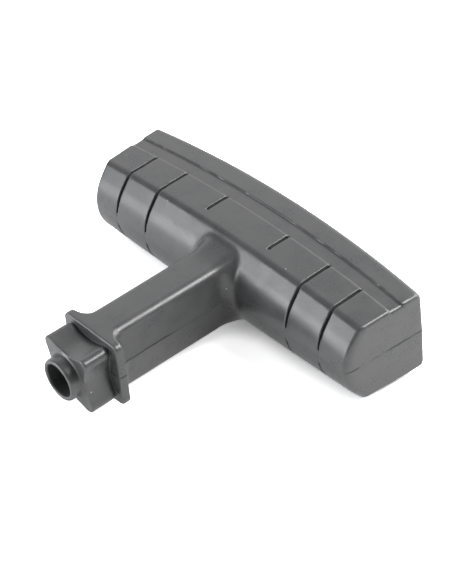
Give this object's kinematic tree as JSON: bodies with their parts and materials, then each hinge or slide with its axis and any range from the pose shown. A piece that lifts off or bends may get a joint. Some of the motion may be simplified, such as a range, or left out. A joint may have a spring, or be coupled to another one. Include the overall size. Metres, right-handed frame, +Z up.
{
  "type": "recoil starter handle",
  "caption": "T-shaped rubber pull handle for a recoil starter: slotted cross grip, stem with a flange and a lobed nose, rope bore and knot pocket.",
  "frame": {"origin": "middle of the handle's footprint, on the level of the grip's flat underside", "axes": "+X along the grip, +Y along the rope from the nose to the back of the grip, +Z up, square to the parting plane"},
  "size_m": [0.1048, 0.0802, 0.0274],
  "materials": {
    "black_rubber": "matt black rubber with a fine moulded grain"
  },
  "bodies": {
    "root": {"starter_handle": "black_rubber"}
  },
  "joints": []
}
